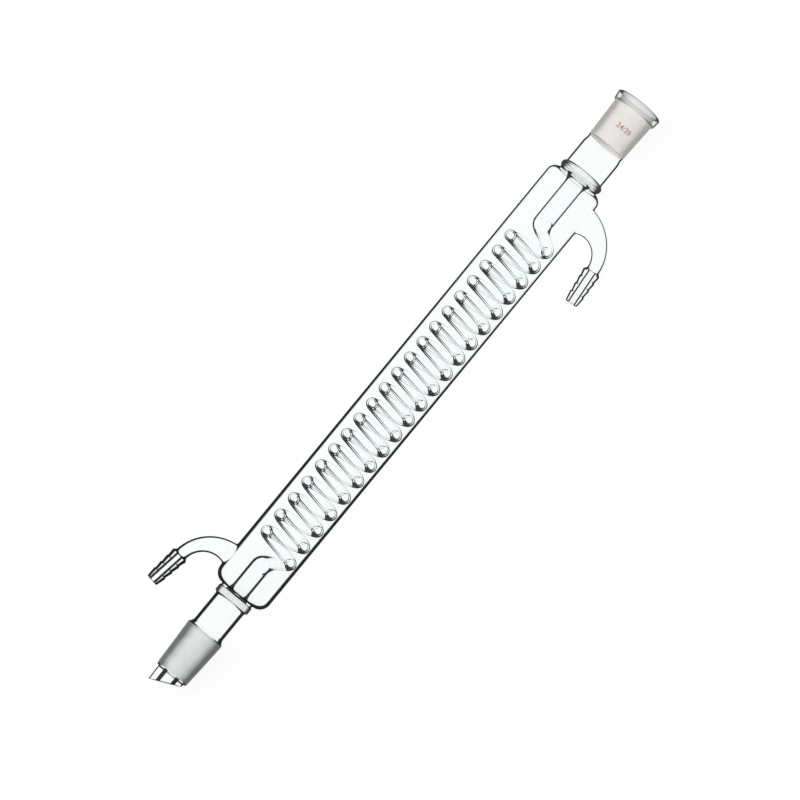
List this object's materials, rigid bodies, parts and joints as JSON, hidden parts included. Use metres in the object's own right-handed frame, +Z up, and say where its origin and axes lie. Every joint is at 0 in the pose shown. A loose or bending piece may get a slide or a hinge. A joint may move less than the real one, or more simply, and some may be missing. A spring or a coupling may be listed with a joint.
{
  "type": "coil condenser",
  "caption": "Glass coil condenser with a water jacket around a coiled inner tube, a ground cone with drip tip, a ground socket and two barbed hose connectors.",
  "frame": {"origin": "middle of the footprint on the bench, below the middle of the whole length", "axes": "+X along the glass towards the ground socket, +Y towards the side of the lower hose connector, +Z up"},
  "size_m": [0.4296, 0.0872, 0.036],
  "materials": {
    "body_glass": "clear drawn borosilicate tube, its joint tapers ground to a fine matt",
    "coil_glass": "clear, fire-polished where it was bent"
  },
  "bodies": {
    "root": {"condenser_body": "body_glass", "coil": "coil_glass"}
  },
  "joints": []
}
